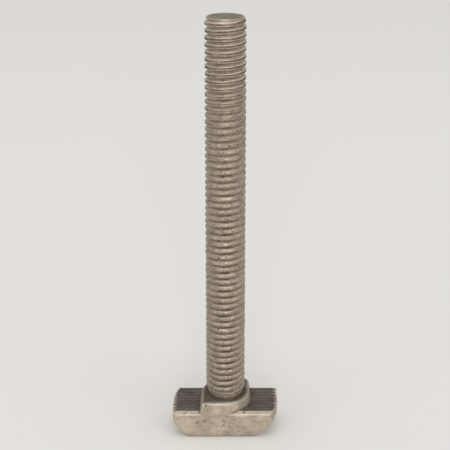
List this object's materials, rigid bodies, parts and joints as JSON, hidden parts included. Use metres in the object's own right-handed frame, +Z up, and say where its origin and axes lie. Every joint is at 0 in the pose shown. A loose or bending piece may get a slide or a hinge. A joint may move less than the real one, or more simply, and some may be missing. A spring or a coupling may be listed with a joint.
{
  "type": "t slot bolt",
  "caption": "Hammer head T slot bolt: low bar head with sloped ends and ridged clamping faces, square neck, long right hand threaded shank.",
  "frame": {"origin": "centre of the head's flat underside, on the axis of the shank", "axes": "+Z up the shank from head to end, +X along the head, -Y the side whose right hand corner is rounded"},
  "size_m": [0.0162, 0.0078, 0.0645],
  "materials": {
    "steel": "dull bare steel with a light brown tone"
  },
  "bodies": {
    "root": {"t_slot_bolt": "steel"}
  },
  "joints": []
}
